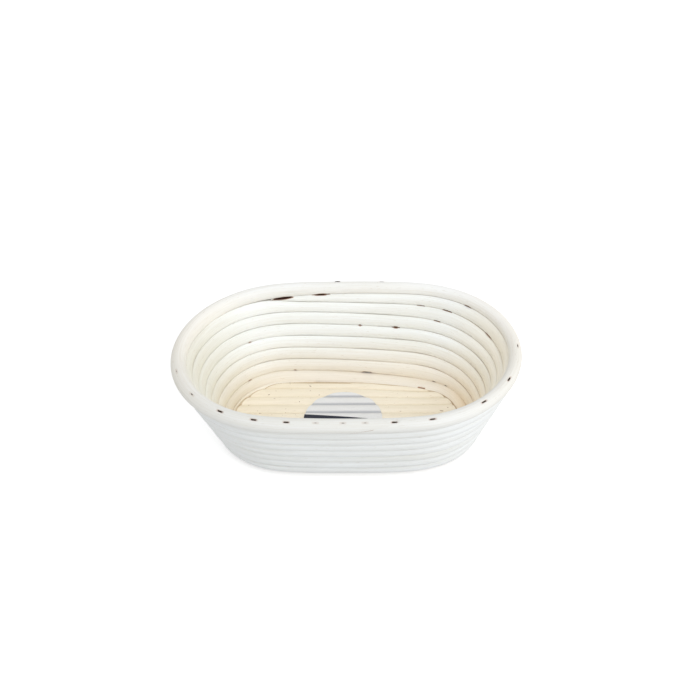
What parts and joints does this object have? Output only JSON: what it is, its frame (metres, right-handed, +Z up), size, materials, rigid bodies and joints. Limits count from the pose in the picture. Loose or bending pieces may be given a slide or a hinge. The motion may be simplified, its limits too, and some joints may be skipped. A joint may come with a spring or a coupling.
{
  "type": "proofing basket",
  "caption": "Oval bread-proofing basket: a continuous rattan cane wound up a leaning wall, a thicker rim hoop, straight base canes, wire staples and a round paper label.",
  "frame": {"origin": "on the surface that the basket stands on, under the middle of the rim's outline", "axes": "+X along the length of the oval, +Y towards the back where the wall cane climbs, +Z up out of the mouth"},
  "size_m": [0.2496, 0.1648, 0.0768],
  "materials": {
    "rim_rattan": "matt, peeled rattan core",
    "wall_rattan": "matt, peeled rattan core",
    "base_rattan": "matt, peeled rattan core",
    "staple_wire": "dull, tarnished steel wire",
    "label_paper": "smooth coated paper"
  },
  "bodies": {
    "root": {"rim_cane": "rim_rattan", "wall_cane": "wall_rattan", "base_cane_01": "base_rattan", "base_cane_02": "base_rattan", "base_cane_03": "base_rattan", "base_cane_04": "base_rattan", "base_cane_05": "base_rattan", "base_cane_06": "base_rattan", "base_cane_07": "base_rattan", "base_cane_08": "base_rattan", "base_cane_09": "base_rattan", "base_label": "label_paper", "rim_staple_01": "staple_wire", "rim_staple_02": "staple_wire", "rim_staple_03": "staple_wire", "rim_staple_04": "staple_wire", "rim_staple_05": "staple_wire", "rim_staple_06": "staple_wire", "rim_staple_07": "staple_wire", "rim_staple_08": "staple_wire", "rim_staple_09": "staple_wire", "rim_staple_10": "staple_wire", "rim_staple_11": "staple_wire", "rim_staple_12": "staple_wire", "rim_staple_13": "staple_wire", "rim_staple_14": "staple_wire", "rim_staple_15": "staple_wire", "base_staple_01": "staple_wire", "base_staple_02": "staple_wire", "base_staple_03": "staple_wire", "base_staple_04": "staple_wire", "base_staple_05": "staple_wire", "base_staple_06": "staple_wire", "base_staple_07": "staple_wire", "base_staple_08": "staple_wire", "base_staple_09": "staple_wire", "base_staple_10": "staple_wire", "base_staple_11": "staple_wire", "base_staple_12": "staple_wire", "base_staple_13": "staple_wire", "base_staple_14": "staple_wire", "base_staple_15": "staple_wire", "base_staple_16": "staple_wire", "base_staple_17": "staple_wire", "base_staple_18": "staple_wire", "base_staple_19": "staple_wire"}
  },
  "joints": []
}
